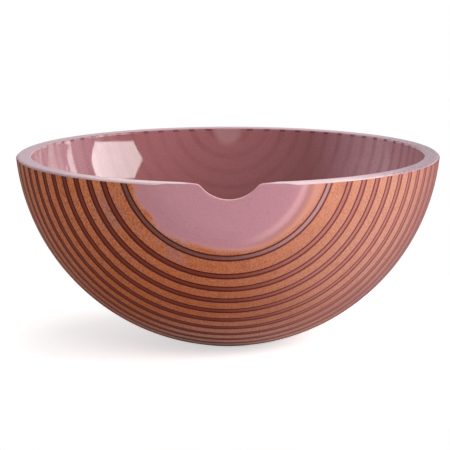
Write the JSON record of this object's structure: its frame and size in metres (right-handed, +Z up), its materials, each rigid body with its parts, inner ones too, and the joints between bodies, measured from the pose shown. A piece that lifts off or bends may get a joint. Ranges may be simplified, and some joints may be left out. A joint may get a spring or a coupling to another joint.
{
  "type": "vessel sink",
  "caption": "Round glass vessel sink, a spherical bowl with a thick rim, a scooped front notch, ringed copper overlay and rose eye, with pop-up waste and tailpiece",
  "frame": {"origin": "on the waste's axis at the countertop: the middle of the base gasket's underside", "axes": "+Z up along the waste's axis; the notch and the eye face -Y"},
  "size_m": [0.4196, 0.4131, 0.3449],
  "materials": {
    "rose_glass": "glossy inside, satin outside",
    "amber_overlay": "matte",
    "dark_enamel": "matte",
    "clear_rubber": "matte",
    "black_rubber": "matte",
    "chrome": "polished",
    "brass": "satin",
    "white_plastic": "matte",
    "grey_plastic": "matte",
    "spring_steel": "bright"
  },
  "bodies": {
    "basin": {"glass_bowl": "rose_glass", "amber_overlay": "amber_overlay", "ring_bands": "dark_enamel", "base_gasket": "clear_rubber", "flange_gasket": "black_rubber", "drain_body": "chrome", "lock_nut": "brass", "slip_washer": "white_plastic", "counter_washer": "black_rubber", "cartridge_bridge": "brass", "cartridge_housing": "white_plastic", "cartridge_bushing": "grey_plastic", "cartridge_nut": "brass", "cartridge_spring": "spring_steel", "tailpiece_gasket": "black_rubber", "tailpiece": "chrome"},
    "stopper": {"stopper_cap": "chrome", "stopper_seal": "black_rubber", "stopper_stem": "spring_steel"},
    "rotor": {"index_rotor": "grey_plastic"}
  },
  "joints": [
    {"name": "stopper_press", "type": "slide", "parent": "basin", "child": "stopper", "axis": [0, 0, 1], "range_m": [-0.009, 0], "deforming": ["cartridge_spring"]},
    {"name": "rotor_index", "type": "hinge", "parent": "stopper", "child": "rotor", "pos_m": [0, 0, 0], "axis": [0, 0, 1], "range_deg": [-45, 0]}
  ],
  "couplings": [
    {"joint": "rotor_index", "follows": "stopper_press", "rad_per_m": 87.2}
  ]
}
